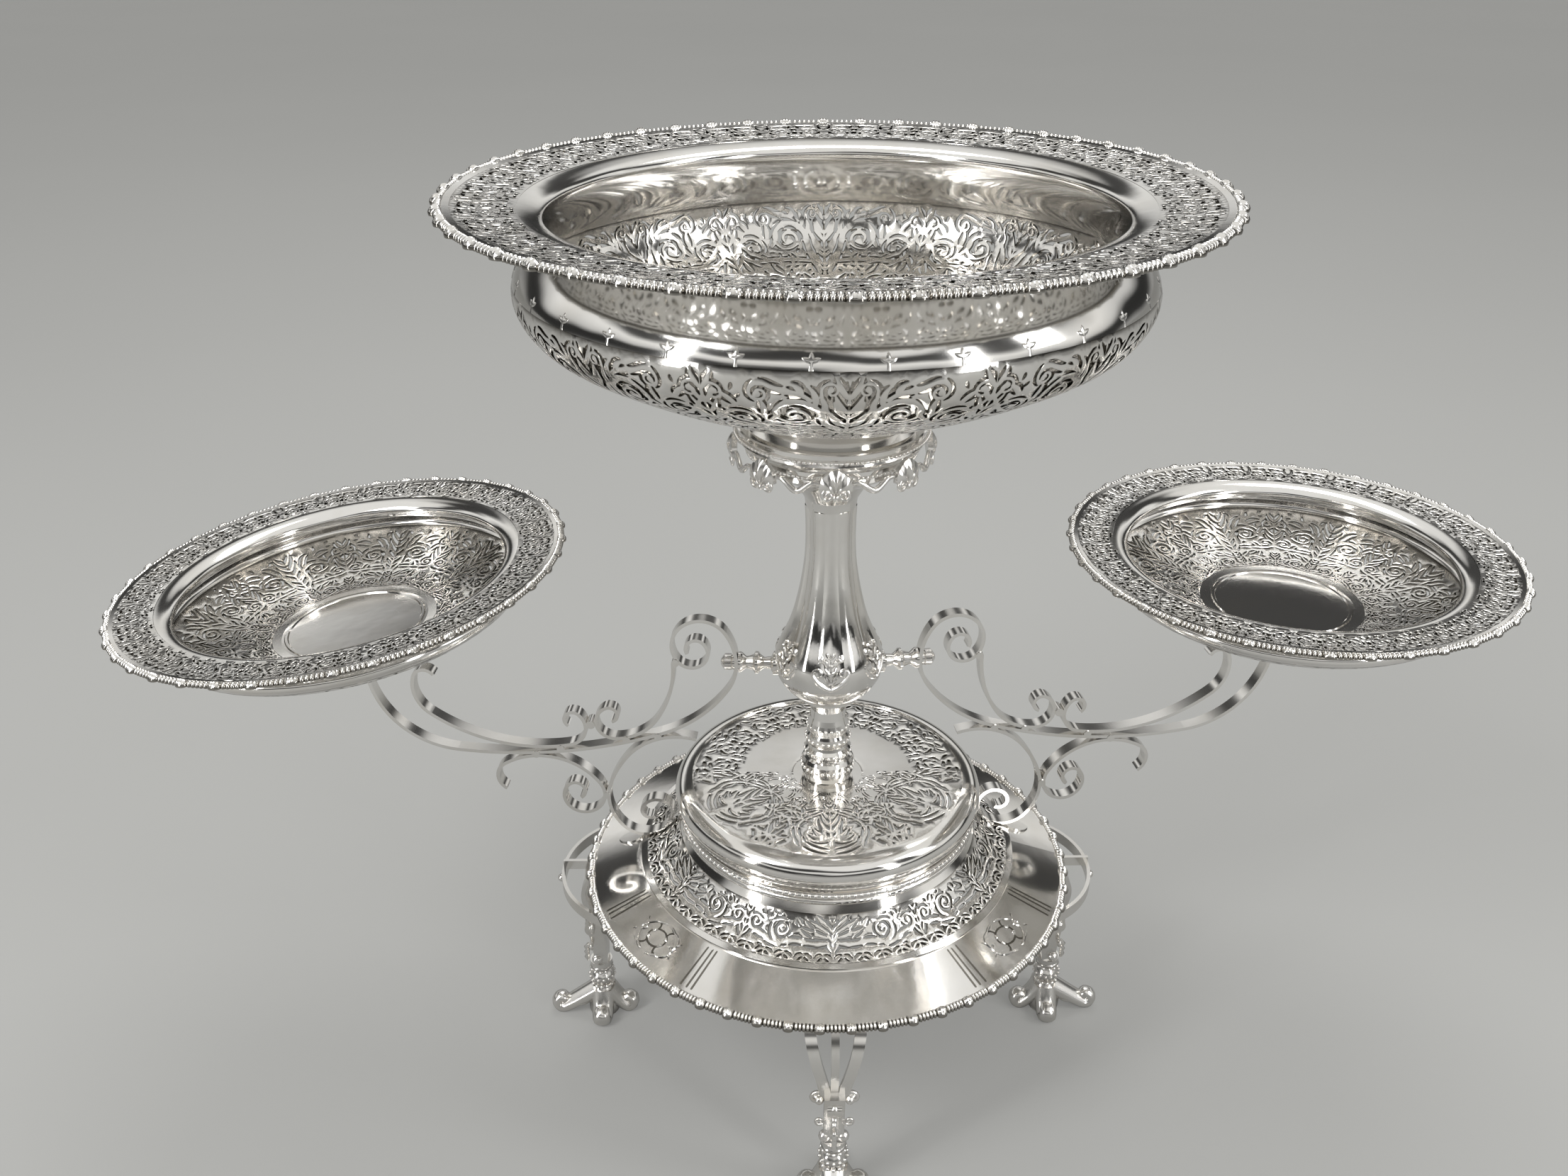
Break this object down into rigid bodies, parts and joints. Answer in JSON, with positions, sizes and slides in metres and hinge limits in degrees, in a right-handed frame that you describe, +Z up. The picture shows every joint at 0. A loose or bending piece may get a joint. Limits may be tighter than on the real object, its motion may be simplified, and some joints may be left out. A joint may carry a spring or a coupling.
{
  "type": "epergne",
  "caption": "Table centrepiece with a large pierced bowl on a fluted stem, small bowls on scroll brackets, and a domed base on scroll legs.",
  "frame": {"origin": "on the stem's axis at the level of the table", "axes": "+Z up the stem, +X towards the right bracket's side and -Y towards the front leg, the side the picture shows"},
  "size_m": [0.5963, 0.286, 0.394],
  "materials": {
    "silver": "polished solid silver"
  },
  "bodies": {
    "stand": {"collar": "silver", "collar_shells": "silver", "dome": "silver", "dome_ring": "silver", "left_bowl_seat": "silver", "left_foot_leaf": "silver", "left_foot_scroll": "silver", "left_handle": "silver", "left_main_strap": "silver", "left_outer_scroll": "silver", "left_s_strap": "silver", "left_scroll_ties": "silver", "left_spacer": "silver", "left_upper_strap": "silver", "leg_1_foot": "silver", "leg_1_frame": "silver", "leg_2_foot": "silver", "leg_2_frame": "silver", "leg_3_foot": "silver", "leg_3_frame": "silver", "leg_4_foot": "silver", "leg_4_frame": "silver", "right_bowl_seat": "silver", "right_foot_leaf": "silver", "right_foot_scroll": "silver", "right_handle": "silver", "right_main_strap": "silver", "right_outer_scroll": "silver", "right_s_strap": "silver", "right_scroll_ties": "silver", "right_spacer": "silver", "right_upper_strap": "silver", "rod_nut": "silver", "rod_washer": "silver", "saucer": "silver", "spindle": "silver", "stem": "silver", "tie_rod": "silver", "tier": "silver", "tray": "silver", "tray_border": "silver"},
    "central_bowl_body": {"central_bowl": "silver", "central_border": "silver", "central_foot": "silver"},
    "left_bowl_body": {"left_bowl": "silver", "left_border": "silver", "left_bowl_foot": "silver"},
    "right_bowl_body": {"right_bowl": "silver", "right_border": "silver", "right_bowl_foot": "silver"},
    "left_washer": {"left_screw_washer": "silver"},
    "left_screw": {"left_thumb_screw": "silver"},
    "right_washer": {"right_screw_washer": "silver"},
    "right_screw": {"right_thumb_screw": "silver"}
  },
  "joints": [
    {"name": "central_bowl_lift", "type": "slide", "parent": "stand", "child": "central_bowl_body", "axis": [0, 0, 1], "range_m": [0, 0.04]},
    {"name": "left_bowl_lift", "type": "slide", "parent": "stand", "child": "left_bowl_body", "axis": [-0.1043, 0.0073, 0.9945], "range_m": [0, 0.03]},
    {"name": "left_screw_travel", "type": "slide", "parent": "stand", "child": "left_washer", "axis": [-0.9976, 0.0698, 0], "range_m": [0, 0.004]},
    {"name": "left_screw_turn", "type": "hinge", "parent": "left_washer", "child": "left_screw", "pos_m": [-0.03841, 0.00269, 0.1933], "axis": [-0.9976, 0.0698, 0], "range_deg": [0, 1800]},
    {"name": "right_bowl_lift", "type": "slide", "parent": "stand", "child": "right_bowl_body", "axis": [0, 0, 1], "range_m": [0, 0.03]},
    {"name": "right_screw_travel", "type": "slide", "parent": "stand", "child": "right_washer", "axis": [0.9895, 0.1444, 0], "range_m": [0, 0.004]},
    {"name": "right_screw_turn", "type": "hinge", "parent": "right_washer", "child": "right_screw", "pos_m": [0.0381, 0.00556, 0.1933], "axis": [0.9895, 0.1444, 0], "range_deg": [0, 1800]}
  ],
  "couplings": [
    {"joint": "left_screw_turn", "follows": "left_screw_travel", "rad_per_m": 7854},
    {"joint": "right_screw_turn", "follows": "right_screw_travel", "rad_per_m": 7854}
  ]
}
